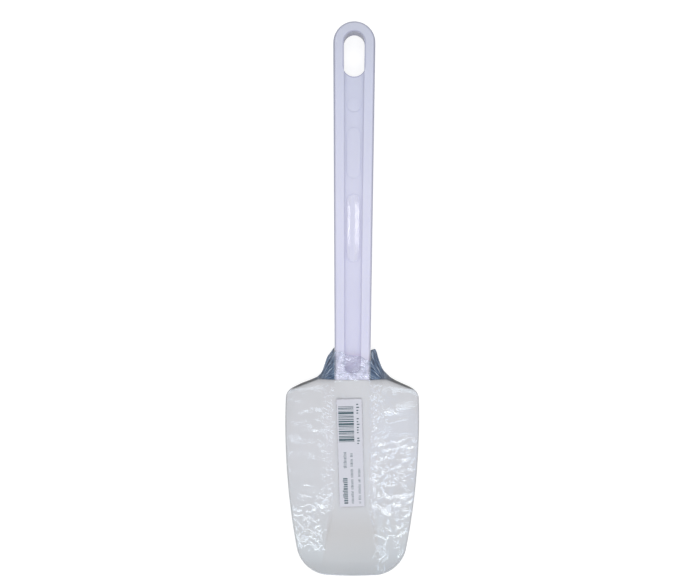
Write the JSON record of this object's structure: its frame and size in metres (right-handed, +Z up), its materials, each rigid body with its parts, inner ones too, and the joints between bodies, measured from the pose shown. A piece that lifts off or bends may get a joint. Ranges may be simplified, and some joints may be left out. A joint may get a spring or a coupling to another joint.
{
  "type": "plastic scraper",
  "caption": "Spoon-shaped plastic kitchen scraper with a channelled handle and hanging slot, its blade still in clear shrink film with a plain paper label.",
  "frame": {"origin": "centre of the tool's box on the surface that it lies on, dish upwards", "axes": "+Y points along the tool from the blade's tip to the hanging end, +Z up out of the dish, +X to the right with the hanging end up"},
  "size_m": [0.0614, 0.254, 0.0088],
  "materials": {
    "handle_plastic": "satin moulded polypropylene, white with a lavender cast",
    "blade_plastic": "smooth soft off-white plastic",
    "clear_film": "clear glossy crinkled shrink film",
    "label_paper": null
  },
  "bodies": {
    "root": {"handle": "handle_plastic", "blade": "blade_plastic", "shrink_film": "clear_film", "label": "label_paper"}
  },
  "joints": []
}
